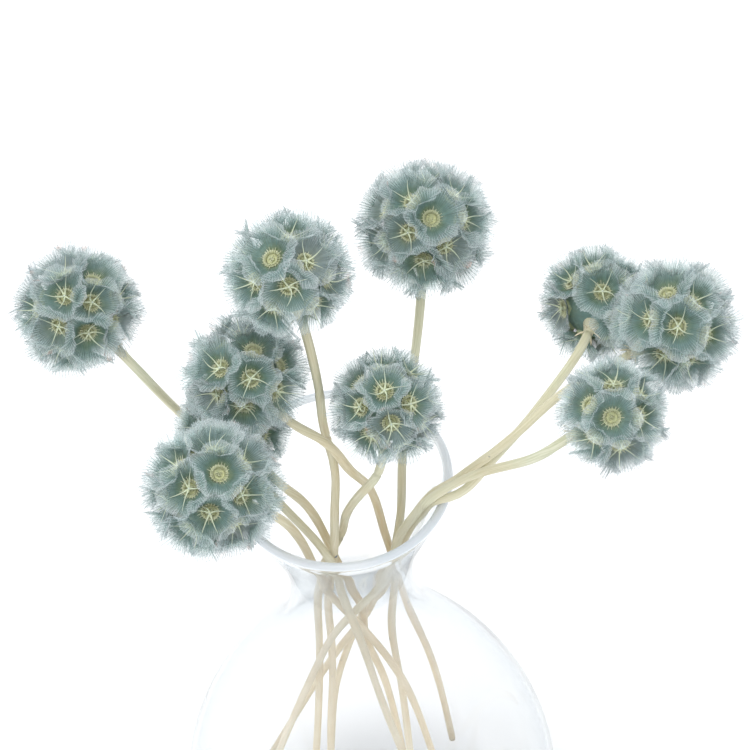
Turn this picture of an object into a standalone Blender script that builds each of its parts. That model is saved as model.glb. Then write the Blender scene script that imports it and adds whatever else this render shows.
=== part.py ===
"""Dried starflower scabiosa seed heads on straw stems, standing in a clear glass bottle.

Metres, +Z up. The origin is the centre of the bottle's foot, on the surface that it stands on.
Sizes below are in millimetres and are turned into metres where a mesh is made.
"""

import itertools
import math
import random

import bmesh
import bpy
import numpy as np
from mathutils import Vector

MM = 0.001

# Bottle: a ball with a flat foot, a narrow waist and a flared, rolled lip
GLASS = 1.8
FLOOR = 2.5
FOOT_RADIUS = 27.0
BELLY_RADIUS = 62.5
BELLY_HEIGHT = 58.0
WAIST_RADIUS = 19.0
WAIST_HEIGHT = 186.0
LIP_RADIUS = 33.0
HEIGHT = 236.0
LIP_ROLL = 1.4
LIP_POINTS = 5
LIP_STEP = 0.5
WALL_STEP = 16.0
FLOOR_BEND = 1.0
FLOOR_EDGE = 3.0
BOTTLE_SIDES = 28
MERGE = 0.00005

# Stems: straw tubes, thinner towards the cut end
STEM_RADIUS = 1.35
STEM_THIN = 0.82
STEM_TURN = math.radians(6)
STEM_STEP = 26.0
SHORTEST_END = 4.0
FINE_STEP = 0.1

# Seed heads: papery funnels round a small core, each with a five-pointed star in its cup
CORE_SHARE = 0.58
ROOT_SHARE = 0.3
CUP_SHARE = 0.63
FUNNELS_PER_MM = 1.3
AXIS_SHIFT = 0.06
FUNNEL_SPREAD = math.radians(33)
FUNNEL_GAP = math.radians(1.2)
CORNER_STEP = math.radians(46)
RIM_DEPTH = 0.9
RIM_WAVE = 1.4
LOWEST_RIM = 0.96
CUP_RADIUS = 1.3
CUP_BUMP = 0.5
STAR_POINTS = 5
STAR_REACH = 4.5
STAR_RISE = 5.2
SHORTEST_STAR = 0.85
STEM_OPENING = math.radians(34)
NECK_RADIUS = 2.4
NECK_FLARE = 1.6
NECK_ROOT = 0.35
NECK_SHARE = 0.8
NECK_SIDES = 7
SEAT_GAP = 0.3

# Each plant: the head's radius, and the stem's centre line from the head's centre to its cut end
PLANTS = (
    (18.7, ((-71, 31, 285), (-59, 20.5, 275), (-48, 17.5, 255), (-40, 15, 243), (-33, 9, 239.5),
            (-27.5, 5, 236.4), (-19, 0, 225), (-7, -8, 209), (-2, -12, 188), (0.5, -12.5, 172),
            (5, -12.5, 137), (11, -10.5, 95), (23, -5, 3.1))),
    (18.0, ((-9, 4, 325), (-5, -4, 304), (-3.5, -7.7, 288), (-3.3, -5, 267), (-1.5, -5.5, 247),
            (-2.5, -5.5, 230), (-4, -6.5, 210), (-6.2, -2, 188), (-7.3, 0.3, 178), (-8.2, 3.3, 155),
            (-9.2, 5.5, 125), (-11.5, 6.5, 95), (-16, 8, 3))),
    (19.8, ((30, 38, 300), (27.5, 30, 278), (24, 22, 258), (18.5, 12.5, 225), (16.5, 6, 204),
            (13.5, 3.4, 187), (12.6, 3.6, 175), (11, 3.5, 155), (12, 4, 123), (13.5, 2, 78),
            (15, -2, 3))),
    (18.0, ((-23.5, -4, 292), (-11, -12.5, 279), (-4.7, -11.8, 271), (3, -7, 248), (7.5, -1.2, 232),
            (11, 4, 203), (12.5, 7.2, 187), (14.3, 8, 172), (17, 11.5, 148), (21.5, 19.5, 114),
            (29.5, 37.7, 20.5))),
    (19.0, ((-34, -40, 290), (-25, -29, 265), (-17, -20, 243), (-12, -13.5, 218), (-9.5, -7, 196),
            (-7.4, -4.8, 187), (-3, -3.6, 174), (5.4, -2.2, 150), (13, -1, 124), (21, 0, 75),
            (31.5, 2, 5.5))),
    (17.2, ((-30, 4, 257), (-18, -5, 242), (-12.5, -3, 230), (-6, -0.7, 204), (-2.5, -0.7, 188),
            (1, -0.8, 177), (2.3, 2.6, 150), (6.3, 9.5, 115), (11, 13, 60), (16, 16, 3))),
    (16.2, ((15, -17, 290), (11.5, -21.5, 267), (7, -17, 252), (0, -4, 220), (-3, 3, 199),
            (-8, 3, 187), (-10, 3.5, 178), (-11.7, 4.5, 155), (-13.3, 7.5, 125), (-17.5, 8.5, 75),
            (-25, 10, 3.2))),
    (17.3, ((80, 36, 262), (71.5, 16, 264), (62.5, 6, 260), (53, -2, 254), (42, -9, 246),
            (36.5, -12, 241.5), (31.5, -13.2, 239.3), (27, -12.9, 237.7), (23.5, -11.5, 231),
            (20.5, -8.7, 222), (16, -5.5, 206), (9.2, -3.4, 188), (3.8, 6.3, 157), (-5, 11.5, 131),
            (-22.5, 22, 76), (-38, 32, 25))),
    (18.8, ((98, 8, 284), (81, 3, 275), (66, 0, 267.5), (53, -5, 258), (42.5, -8.5, 250.5),
            (37, -8.3, 244.5), (32, -8.6, 239.8), (27.5, -8.4, 236.3), (24.7, -7.3, 231),
            (22.5, -5.5, 224.5), (17, -1.5, 206), (11.2, 0, 186), (8.6, 4.6, 171), (3.8, 11, 154),
            (-2.5, 15, 128), (-8.5, 17, 100), (-13.5, 21, 50), (-18, 23, 5))),
    (16.2, ((77, -22, 284), (63.5, -23.5, 276), (57, -22, 268), (46, -17, 257), (37.5, -13.5, 249),
            (31, -13, 244), (25.5, -13.8, 240), (20.3, -13, 231), (15.8, -10, 217), (10.5, -8, 196),
            (3, -8.8, 184), (-2, -8.3, 175), (-12, 0.5, 140), (-31, 11.5, 65), (-42, 18, 18.5))),
)


def clear_scene():
    for obj in list(bpy.data.objects):
        bpy.data.objects.remove(obj, do_unlink=True)


def new_collection(name):
    collection = bpy.data.collections.new(name)
    bpy.context.scene.collection.children.link(collection)
    return collection


def plain_material(name, colour, roughness, transmission=0.0):
    material = bpy.data.materials.new(name)
    material.use_nodes = True
    shader = material.node_tree.nodes["Principled BSDF"]
    shader.inputs["Base Color"].default_value = (*colour, 1.0)
    shader.inputs["Roughness"].default_value = roughness
    shader.inputs["Metallic"].default_value = 0.0
    shader.inputs["Transmission Weight"].default_value = transmission
    material.diffuse_color = (*colour, 1.0)
    return material


def smooth_route(points, spacing):
    """A natural cubic through the points, on their chord length, read about every spacing."""
    points = np.array(points, float)
    chords = np.linalg.norm(np.diff(points, axis=0), axis=1)
    knots = np.concatenate([[0.0], np.cumsum(chords)])
    count = len(points)
    system = np.eye(count)
    bends = np.zeros((count, 3))
    for i in range(1, count - 1):
        before, after = chords[i - 1], chords[i]
        system[i, i - 1 : i + 2] = before, 2 * (before + after), after
        rise = (points[i + 1] - points[i]) / after - (points[i] - points[i - 1]) / before
        bends[i] = 6 * rise
    bends = np.linalg.solve(system, bends)
    steps = np.linspace(0, knots[-1], int(knots[-1] / spacing) + 1)
    span = np.clip(np.searchsorted(knots, steps, side="right") - 1, 0, count - 2)
    left = (knots[span + 1] - steps)[:, None]
    right = (steps - knots[span])[:, None]
    width = chords[span][:, None]
    return (
        (bends[span] * left**3 + bends[span + 1] * right**3) / (6 * width)
        + (points[span] / width - bends[span] * width / 6) * left
        + (points[span + 1] / width - bends[span + 1] * width / 6) * right
    )


def outer_wall():
    """(radius, height) of the glass from the foot's edge to just under the lip."""
    points = (
        (FOOT_RADIUS, 0, 0),
        (43, 0, 9.5),
        (56, 0, 27),
        (BELLY_RADIUS, 0, BELLY_HEIGHT),
        (57, 0, 91),
        (42, 0, 123),
        (27, 0, 150),
        (20.3, 0, 170),
        (WAIST_RADIUS, 0, WAIST_HEIGHT),
        (22, 0, 204),
        (29, 0, 224),
        (LIP_RADIUS - LIP_STEP, 0, HEIGHT - LIP_ROLL),
    )
    return smooth_route(points, WALL_STEP)[:, [0, 2]]


def inner_wall(outer):
    """The outer wall moved in by the glass's thickness, from just above the floor upwards."""
    along = np.gradient(outer, axis=0)
    normal = np.stack([-along[:, 1], along[:, 0]], axis=1)
    inner = outer + GLASS * normal / np.linalg.norm(normal, axis=1)[:, None]
    return inner[inner[:, 1] > FLOOR + FLOOR_BEND]


def rolled_lip():
    """The half round over the lip, from inside to outside."""
    turn = np.linspace(math.pi, 0, LIP_POINTS)
    centre = LIP_RADIUS - LIP_ROLL
    rise = HEIGHT - LIP_ROLL + LIP_ROLL * np.sin(turn)
    return np.stack([centre + LIP_ROLL * np.cos(turn), rise], axis=1)


def make_bottle(collection, material):
    outer = outer_wall()
    inner = inner_wall(outer)[:-1]
    floor = [(0, FLOOR), (inner[0, 0] - FLOOR_EDGE, FLOOR)]
    profile = [*floor, *inner, *rolled_lip(), *outer[-2::-1], (0, 0)]
    mesh = bpy.data.meshes.new("bottle")
    vertices = [(radius * MM, 0, height * MM) for radius, height in profile]
    edges = [(i, i + 1) for i in range(len(vertices) - 1)]
    mesh.from_pydata(vertices, edges, [])
    bottle = bpy.data.objects.new("bottle", mesh)
    collection.objects.link(bottle)
    turn = bottle.modifiers.new("turn", "SCREW")
    turn.axis = "Z"
    turn.steps = BOTTLE_SIDES
    turn.render_steps = BOTTLE_SIDES
    turn.use_merge_vertices = True
    turn.merge_threshold = MERGE
    turn.use_smooth_shade = True
    mesh.materials.append(material)
    return bottle


def sparse_points(line):
    """Fewer points of a fine line: one wherever it has turned or run far enough since the last."""
    ways = np.diff(line, axis=0)
    ways /= np.linalg.norm(ways, axis=1)[:, None]
    kept = [0]
    for i in range(1, len(line) - 1):
        turned = ways[i] @ ways[kept[-1]] < math.cos(STEM_TURN)
        far = np.linalg.norm(line[i] - line[kept[-1]]) > STEM_STEP
        if turned or far:
            kept.append(i)
    if np.linalg.norm(line[-1] - line[kept[-1]]) < SHORTEST_END:
        kept.pop()
    return line[kept + [len(line) - 1]]


def make_stem(name, route, start, collection, material):
    """A tube along the route, from the distance start off its first point to its last."""
    line = smooth_route(route, FINE_STEP)
    line = sparse_points(line[np.linalg.norm(line - line[0], axis=1) >= start])
    curve = bpy.data.curves.new(name, "CURVE")
    curve.dimensions = "3D"
    curve.bevel_depth = STEM_RADIUS * MM
    curve.bevel_resolution = 1
    curve.use_fill_caps = True
    spline = curve.splines.new("POLY")
    spline.points.add(len(line) - 1)
    for i, (point, place) in enumerate(zip(spline.points, line)):
        point.co = (*(place * MM), 1)
        point.radius = 1 - (1 - STEM_THIN) * i / (len(line) - 1)
    stem = bpy.data.objects.new(name, curve)
    collection.objects.link(stem)
    curve.materials.append(material)
    return stem


def funnel_axes(radius, stem_way, draw):
    """Directions spread evenly over the head by the golden angle, but for the stem's opening."""
    wanted = round(FUNNELS_PER_MM * radius)
    covered = (1 + math.cos(STEM_OPENING)) / 2
    golden = math.pi * (3 - math.sqrt(5))
    start = draw.uniform(0, 2 * math.pi)
    turn = Vector((0, 0, -1)).rotation_difference(stem_way)
    axes = []
    for i in range(wanted):
        height = 1 - 2 * covered * (i + 0.5) / wanted
        across = math.sqrt(1 - height * height)
        angle = start + golden * i
        axis = Vector((across * math.cos(angle), across * math.sin(angle), height))
        shift = Vector([draw.uniform(-AXIS_SHIFT, AXIS_SHIFT) for _ in range(3)])
        axes.append(turn @ (axis + shift).normalized())
    return axes


def cell_corners(axis, others):
    """Corners of the patch of the head that is nearer this funnel than any other, in order round it.

    Each is (turn round the axis, lean from it). Two neighbours and the axis lie evenly round a corner.
    A corner less than CORNER_STEP past the one before it is left out.
    """
    first = axis.orthogonal().normalized()
    second = axis.cross(first)
    corners = []
    for one, other in itertools.combinations(others, 2):
        corner = (one - axis).cross(other - axis).normalized()
        if corner.dot(axis) < 0:
            corner = -corner
        nearest = corner.dot(axis)
        if all(corner.dot(third) <= nearest for third in others if third not in (one, other)):
            turn = math.atan2(corner.dot(second), corner.dot(first))
            corners.append((turn, min(corner.angle(axis), FUNNEL_SPREAD) - FUNNEL_GAP))
    corners.sort()
    kept = corners[:1]
    for corner in corners[1:]:
        if corner[0] - kept[-1][0] > CORNER_STEP:
            kept.append(corner)
    return first, second, kept


def make_funnel(axis, others, radius, draw):
    """A waved papery funnel rooted in the core, hollow on top, with the star in its cup."""
    first, second, corners = cell_corners(axis, others)
    reach = radius * draw.uniform(LOWEST_RIM, 1.0)
    cup = CUP_SHARE * radius
    start = corners[0][0]

    def way(angle):
        return first * math.cos(angle) + second * math.sin(angle)

    lower, upper = [], []
    for k, (turn, lean) in enumerate(corners):
        rise = reach - RIM_WAVE * (k % 2)
        edge = axis * math.cos(lean) + way(turn) * math.sin(lean)
        lower.append(edge * (rise - RIM_DEPTH))
        upper.append(edge * rise)
    step = 2 * math.pi / STAR_POINTS
    ring, tips = [], []
    for k in range(STAR_POINTS):
        ring.append(axis * cup + way(start + k * step) * CUP_RADIUS)
        reach_out = STAR_REACH * draw.uniform(SHORTEST_STAR, 1.0)
        tips.append(axis * (cup + STAR_RISE) + way(start + (k + 0.5) * step) * reach_out)
    root, centre = axis * ROOT_SHARE * radius, axis * (cup + CUP_BUMP)
    turns = [turn - start for turn, _ in corners]
    return [root, *lower, *upper, *ring, centre, *tips], funnel_faces(turns)


def funnel_faces(turns):
    """Faces over the root, the rim's two rings, the cup's ring, its centre and the star's tips."""
    sides = len(turns)
    low = 1
    high = low + sides
    ring = high + sides
    centre = ring + STAR_POINTS
    tip = centre + 1
    faces = []
    for k in range(sides):
        after = (k + 1) % sides
        faces.append((0, low + after, low + k))
        faces.append((low + k, low + after, high + after))
        faces.append((low + k, high + after, high + k))
    # The rim's corners and the cup's are at unlike turns, so the wall steps to whichever comes next
    rim_turns = [*turns[1:], 2 * math.pi]
    i = j = 0
    while i < sides or j < STAR_POINTS:
        rim, cup = high + i % sides, ring + j % STAR_POINTS
        cup_turn = 2 * math.pi * (j + 1) / STAR_POINTS
        if j == STAR_POINTS or (i < sides and rim_turns[i] <= cup_turn):
            faces.append((rim, high + (i + 1) % sides, cup))
            i += 1
        else:
            faces.append((rim, ring + (j + 1) % STAR_POINTS, cup))
            j += 1
    for k in range(STAR_POINTS):
        after = (k + 1) % STAR_POINTS
        faces.append((ring + k, ring + after, tip + k))
        faces.append((ring + after, centre, tip + k))
        faces.append((centre, ring + k, tip + k))
    return faces


def mesh_object(name, vertices, faces, collection):
    mesh = bpy.data.meshes.new(name)
    mesh.from_pydata([tuple(vertex * MM) for vertex in vertices], [], faces)
    obj = bpy.data.objects.new(name, mesh)
    collection.objects.link(obj)
    return obj


def shape_object(name, shape, collection):
    mesh = bpy.data.meshes.new(name)
    shape.to_mesh(mesh)
    shape.free()
    obj = bpy.data.objects.new(name, mesh)
    collection.objects.link(obj)
    return obj


def make_core(name, radius, collection):
    shape = bmesh.new()
    bmesh.ops.create_icosphere(shape, subdivisions=1, radius=CORE_SHARE * radius * MM)
    return shape_object(name, shape, collection)


def make_neck(radius, stem_way, collection):
    """The plain cone under the head that the stem's end meets."""
    top, bottom = NECK_ROOT * radius, NECK_SHARE * radius
    shape = bmesh.new()
    bmesh.ops.create_cone(
        shape, cap_ends=True, segments=NECK_SIDES, radius1=NECK_FLARE * NECK_RADIUS * MM,
        radius2=NECK_RADIUS * MM, depth=(bottom - top) * MM,
    )
    neck = shape_object("neck", shape, collection)
    neck.rotation_mode = "QUATERNION"
    neck.rotation_quaternion = Vector((0, 0, 1)).rotation_difference(stem_way)
    neck.location = stem_way * (top + bottom) / 2 * MM


def make_head(name, number, radius, route, collection, material):
    draw = random.Random(number)
    centre = Vector(route[0])
    line = smooth_route(route, FINE_STEP)
    beyond = line[np.linalg.norm(line - line[0], axis=1) >= NECK_SHARE * radius][0]
    stem_way = (Vector(beyond) - centre).normalized()
    head = make_core(name, radius, collection)
    pieces = new_collection(name + "_pieces")
    axes = funnel_axes(radius, stem_way, draw)
    for axis in axes:
        others = [other for other in axes if other is not axis]
        mesh_object("funnel", *make_funnel(axis, others, radius, draw), pieces)
    make_neck(radius, stem_way, pieces)
    union = head.modifiers.new("union", "BOOLEAN")
    union.operation = "UNION"
    union.operand_type = "COLLECTION"
    union.collection = pieces
    union.solver = "MANIFOLD"
    graph = bpy.context.evaluated_depsgraph_get()
    joined = bpy.data.meshes.new_from_object(head.evaluated_get(graph))
    head.modifiers.clear()
    head.data = joined
    for piece in list(pieces.objects):
        bpy.data.objects.remove(piece, do_unlink=True)
    bpy.data.collections.remove(pieces)
    head.location = centre * MM
    joined.materials.clear()
    joined.materials.append(material)
    return head


def main():
    clear_scene()
    parts = new_collection("scabiosa_in_bottle")
    glass = plain_material("clear_glass", (0.93, 0.96, 0.97), 0.03, 1.0)
    straw = plain_material("straw_stem", (0.72, 0.64, 0.42), 0.6)
    paper = plain_material("blue_paper_head", (0.36, 0.47, 0.49), 0.8)
    make_bottle(parts, glass)
    for number, (radius, route) in enumerate(PLANTS, 1):
        make_head(f"seed_head_{number}", number, radius, route, parts, paper)
        make_stem(f"stem_{number}", route, NECK_SHARE * radius + SEAT_GAP, parts, straw)


main()
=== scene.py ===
"""Dried starflower scabiosa seed heads on straw stems in a clear glass bottle: the finished surfaces.

Each seed head becomes veined papery funnels with bristly cups and five-armed stars, each stem a ridged
straw, and the bottle one smooth blown wall. Sizes are in millimetres until a mesh is made.
"""

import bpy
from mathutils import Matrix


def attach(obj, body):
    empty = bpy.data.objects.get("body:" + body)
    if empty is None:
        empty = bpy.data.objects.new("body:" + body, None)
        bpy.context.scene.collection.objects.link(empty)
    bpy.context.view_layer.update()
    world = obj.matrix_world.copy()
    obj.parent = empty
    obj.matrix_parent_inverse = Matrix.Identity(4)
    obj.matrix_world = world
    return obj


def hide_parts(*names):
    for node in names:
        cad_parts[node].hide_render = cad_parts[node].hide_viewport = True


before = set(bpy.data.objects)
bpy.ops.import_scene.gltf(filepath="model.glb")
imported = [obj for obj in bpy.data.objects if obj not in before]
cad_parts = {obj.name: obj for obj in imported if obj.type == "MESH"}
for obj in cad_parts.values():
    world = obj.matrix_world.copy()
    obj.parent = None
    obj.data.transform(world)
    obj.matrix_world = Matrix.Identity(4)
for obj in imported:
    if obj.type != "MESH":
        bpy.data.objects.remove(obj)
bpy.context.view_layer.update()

import collections
import math
import random

import bmesh
import bpy
import numpy as np
from mathutils import Matrix, Vector

MM = 0.001
BODY = "root"

# Camera: where the lip's ring stands in a frame 750 wide and high, and how the camera is held
FRAME = 750
FOCAL = 3000.0
LIP_CENTRE = (341.0, 476.0)
LIP_REACH = 112.0
LOOK_DOWN = math.radians(52)
LEAN_LEFT = math.radians(-4.8)
SENSOR = 36.0
CLIP_END = 20.0
DEEPEST_PATH = 48

# Bottle: a ball with a flat foot, a narrow waist and a flared, rolled lip
GLASS = 1.8
FLOOR = 2.5
FOOT_RADIUS = 27.0
BELLY_RADIUS = 62.5
BELLY_HEIGHT = 58.0
WAIST_RADIUS = 19.0
WAIST_HEIGHT = 186.0
LIP_RADIUS = 33.0
HEIGHT = 236.0
LIP_ROLL = 1.4
LIP_POINTS = 13
LIP_STEP = 0.5
LIP_DEPTH = 1.9
WALL_STEP = 3.5
FOOT_ROUND = 0.7
FOOT_RINGS = (2.0, 14.0)
FLOOR_TURN = 0.6
FLOOR_EDGES = (5.0, 2.0)
FLOOR_RISE = 0.1
BOTTLE_SIDES = 112

# Stems: ridged straws, thinner towards the cut end
STEM_RADIUS = 1.35
STEM_THIN = 0.82
STEM_SIDES = 18
STEM_STEP = 2.6
STEM_RIDGES = 6
RIDGE_DEPTH = 0.045
STEM_SWELL = 0.05
SLOW_SWELL = 7
QUICK_SWELL = 23
FINE_STEP = 0.1
STEM_SINK = 0.8

# Seed heads: their inner build
CORE_SHARE = 0.6
CORE_DIP = 0.06
CORE_NEAR = 0.86
# How far up the fruit's colours the core goes under a funnel; lower is darker painted shade
CORE_SHADE = 0.35
ROOT_SHARE = 0.3
CUP_SHARE = 0.63
FUNNELS_PER_MM = 1.3
AXIS_SHIFT = 0.06
STEM_OPENING = math.radians(34)
NECK_SHARE = 0.8
NECK_ROOT = 0.35
NECK_LOOSE = 0.1
NECK_FLARE = 1.6
NECK_TINT = 0.3
CORNER_TURNS = 1440
LOWEST_RIM = 0.96
SHORTEST_STAR = 0.85
STAR_POINTS = 5
STAR_REACH = 4.5
STAR_RISE = 5.2

# Funnel walls: a membrane on ribs that run on past its edge as hairs
FREE_SPREAD = math.radians(25.5)
CROWDING = 14.0
OVERLAP = math.radians(6.4)
LAYERS = 3
LAYERING = math.radians(2.2)
LAYER_SHIFT = 0.3
USUAL_LEAN = math.radians(25)
RIM_SHARE = 1.045
LAYER_RISE = 0.6
LOBES = 6
LOBE_MEAN = 0.64
LOBE_LEAN = math.radians(2.6)
LOBE_RISE = 1.1
RIBS = 58
WALL_ROWS = 6
EDGE_DIP = 0.97
EDGE_WEAR = 0.02
RIB_STEPS = 5
RIB_SIDES = 3
RIB_RADIUS = 0.095
RIB_TIP = 0.052
RIB_START = 0.04
RIB_SHIFT = 0.12
RIB_STRAY = 0.012
HAIR = 0.05
HAIR_SHORTEST = 0.55
PLEAT = 0.12
PLEAT_SLOPE = 0.7
FOLD_COUNTS = np.array([2, 3, 5, 9, 16])
FOLD_LEAN = np.radians([1.2, 1.2, 1.0, 0.8, 0.7])
FOLD_RISE = np.array([0.25, 0.25, 0.25, 0.2, 0.16])
BEND_OUT = 0.46
BEND_UP = 0.55

# Cups, stars and fruits
CUP_RADIUS = 2.15
BRISTLES = 60
BRISTLE_RADIUS = 0.18
BRISTLE_TAPER = 0.6
BRISTLE_SHIFT = 0.3
BRISTLE_LENGTHS = (0.8, 1.5)
AWN_STEPS = 8
AWN_REACH = 1.3
AWN_WIDTH = 0.22
AWN_TIP = 0.04
AWN_FLATNESS = 0.55
AWN_SWAY = 0.3
AWN_MIDDLE = 2.4
AWN_LIFTS = (0.2, 1.2)
AWN_RISES = (0.7, 1.08)
AWN_LENGTHS = (0.8, 1.1)
HUB_RADIUS = 0.5
HUB_HEIGHT = 1.2
STALK_RADII = (0.3, 0.32, HUB_RADIUS, 0.35)
STALK_FOOT = 0.6
STALK_TOP = 0.3
BARE_CUPS = 0.17
FRUIT_ROOT = 1.0
FRUIT_TOP = CUP_RADIUS + 0.1
FRUIT_RIBS = 8
FRUIT_RIB_DEPTH = 0.1
# How far up the fruit's colours a fruit goes at its cup; lower down it is darker painted shade
FRUIT_SHADE = 0.7
FRUIT_SIDES = 12
CUP_SIDES = 24
BRACTS = 6
BRACT_WIDTH = 0.36
BRACT_TIP = 0.05
BRACT_SHIFT = 0.3
BRACT_LENGTHS = (1.8, 3.4)
BRACT_PLACE = 0.74
BRACT_TINT = 0.8

# A cup's bristle rings: a bristle's least share of its root's distance out, that distance, its way out,
# its root's height over the cup's edge and its way up
BRISTLE_RINGS = np.array([
    (0.15, 1.45, -0.1, -0.3, 0.75), (1, 1.55, 0.55, 0.1, 1.05), (1, 1.55, 1.3, 0.1, 0.8),
])

# A cup's skin from its collar inwards: distance out, height over the edge, place in the finish's colours
CUP_RINGS = np.array([
    (2.5, 0.6, 1.0), (2.1, 0.15, 0.85), (1.4, -0.1, 0.7), (0.8, -0.3, 0.68), (0.2, -0.4, 0.68),
])

# Stage
FLOOR_RADII = np.array([[1.0], [400.0], [5000.0]])
FLOOR_SIDES = 64
FLOOR_DROP = 0.05
ROOM_COLOUR = (0.95, 0.975, 1.0, 1.0)
ROOM_LIGHT = 1.12
LAMP_PLACE = (-0.3, -0.2, 1.6)
LAMP_AIM = (0, 0, 0.2)
LAMP_SIZE = 1.2
LAMP_POWER = 10.0
LAMP_COLOUR = (1.0, 0.99, 0.97)

# Each plant: the head's radius, and the stem's centre line from the head's centre to its cut end
PLANTS = (
    (18.7, ((-71, 31, 285), (-59, 20.5, 275), (-48, 17.5, 255), (-40, 15, 243), (-33, 9, 239.5),
            (-27.5, 5, 236.4), (-19, 0, 225), (-7, -8, 209), (-2, -12, 188), (0.5, -12.5, 172),
            (5, -12.5, 137), (11, -10.5, 95), (23, -5, 3.1))),
    (18.0, ((-9, 4, 325), (-5, -4, 304), (-3.5, -7.7, 288), (-3.3, -5, 267), (-1.5, -5.5, 247),
            (-2.5, -5.5, 230), (-4, -6.5, 210), (-6.2, -2, 188), (-7.3, 0.3, 178), (-8.2, 3.3, 155),
            (-9.2, 5.5, 125), (-11.5, 6.5, 95), (-16, 8, 3))),
    (19.8, ((30, 38, 300), (27.5, 30, 278), (24, 22, 258), (18.5, 12.5, 225), (16.5, 6, 204),
            (13.5, 3.4, 187), (12.6, 3.6, 175), (11, 3.5, 155), (12, 4, 123), (13.5, 2, 78),
            (15, -2, 3))),
    (18.0, ((-23.5, -4, 292), (-11, -12.5, 279), (-4.7, -11.8, 271), (3, -7, 248), (7.5, -1.2, 232),
            (11, 4, 203), (12.5, 7.2, 187), (14.3, 8, 172), (17, 11.5, 148), (21.5, 19.5, 114),
            (29.5, 37.7, 20.5))),
    (19.0, ((-34, -40, 290), (-25, -29, 265), (-17, -20, 243), (-12, -13.5, 218), (-9.5, -7, 196),
            (-7.4, -4.8, 187), (-3, -3.6, 174), (5.4, -2.2, 150), (13, -1, 124), (21, 0, 75),
            (31.5, 2, 5.5))),
    (17.2, ((-30, 4, 257), (-18, -5, 242), (-12.5, -3, 230), (-6, -0.7, 204), (-2.5, -0.7, 188),
            (1, -0.8, 177), (2.3, 2.6, 150), (6.3, 9.5, 115), (11, 13, 60), (16, 16, 3))),
    (16.2, ((15, -17, 290), (11.5, -21.5, 267), (7, -17, 252), (0, -4, 220), (-3, 3, 199),
            (-8, 3, 187), (-10, 3.5, 178), (-11.7, 4.5, 155), (-13.3, 7.5, 125), (-17.5, 8.5, 75),
            (-25, 10, 3.2))),
    (17.3, ((80, 36, 262), (71.5, 16, 264), (62.5, 6, 260), (53, -2, 254), (42, -9, 246),
            (36.5, -12, 241.5), (31.5, -13.2, 239.3), (27, -12.9, 237.7), (23.5, -11.5, 231),
            (20.5, -8.7, 222), (16, -5.5, 206), (9.2, -3.4, 188), (3.8, 6.3, 157), (-5, 11.5, 131),
            (-22.5, 22, 76), (-38, 32, 25))),
    (18.8, ((98, 8, 284), (81, 3, 275), (66, 0, 267.5), (53, -5, 258), (42.5, -8.5, 250.5),
            (37, -8.3, 244.5), (32, -8.6, 239.8), (27.5, -8.4, 236.3), (24.7, -7.3, 231),
            (22.5, -5.5, 224.5), (17, -1.5, 206), (11.2, 0, 186), (8.6, 4.6, 171), (3.8, 11, 154),
            (-2.5, 15, 128), (-8.5, 17, 100), (-13.5, 21, 50), (-18, 23, 5))),
    (16.2, ((77, -22, 284), (63.5, -23.5, 276), (57, -22, 268), (46, -17, 257), (37.5, -13.5, 249),
            (31, -13, 244), (25.5, -13.8, 240), (20.3, -13, 231), (15.8, -10, 217), (10.5, -8, 196),
            (3, -8.8, 184), (-2, -8.3, 175), (-12, 0.5, 140), (-31, 11.5, 65), (-42, 18, 18.5))),
)

# How tan each stem is, from green to tan
STEM_TANS = (0.2, 0.4, 0.1, 0.85, 0.75, 0.9, 0.3, 0.2, 0.3, 0.15)

# A patch is points, faces and their map values for one finish
Patch = collections.namedtuple("Patch", "points faces maps finish tint")

# A funnel is what its wall, ribs, bristles, star and fruit are worked out from
Funnel = collections.namedtuple("Funnel", "axis first second others reach cup start arms phases layer tint")


# Arrays and meshes


def unit(vectors):
    return vectors / np.linalg.norm(vectors, axis=-1, keepdims=True)


def ease(value):
    """3 v squared less 2 v cubed, with v held between 0 and 1."""
    value = np.clip(value, 0, 1)
    return value * value * (3 - 2 * value)


def full_turn(count):
    """That many turns round a circle, evenly spaced from nought."""
    return 2 * math.pi * np.arange(count) / count


def turned_rings(radius, height, sides):
    """Rings about the upright axis: (radius x cosine, radius x sine, height) at each turn."""
    turns = full_turn(sides)
    return np.stack([radius * np.cos(turns), radius * np.sin(turns), height + 0 * turns], axis=-1)


def smooth_route(points, spacing):
    """A natural cubic through the points, on their chord length, read about every spacing."""
    points = np.array(points, float)
    chords = np.linalg.norm(np.diff(points, axis=0), axis=1)
    knots = np.concatenate([[0.0], np.cumsum(chords)])
    count = len(points)
    system = np.eye(count)
    bends = np.zeros((count, points.shape[1]))
    for i in range(1, count - 1):
        before, after = chords[i - 1], chords[i]
        system[i, i - 1 : i + 2] = before, 2 * (before + after), after
        rise = (points[i + 1] - points[i]) / after - (points[i] - points[i - 1]) / before
        bends[i] = 6 * rise
    bends = np.linalg.solve(system, bends)
    steps = np.linspace(0, knots[-1], int(knots[-1] / spacing) + 1)
    span = np.clip(np.searchsorted(knots, steps, side="right") - 1, 0, count - 2)
    left = (knots[span + 1] - steps)[:, None]
    right = (steps - knots[span])[:, None]
    width = chords[span][:, None]
    return (
        (bends[span] * left**3 + bends[span + 1] * right**3) / (6 * width)
        + (points[span] / width - bends[span] * width / 6) * left
        + (points[span + 1] / width - bends[span + 1] * width / 6) * right
    )


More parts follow.
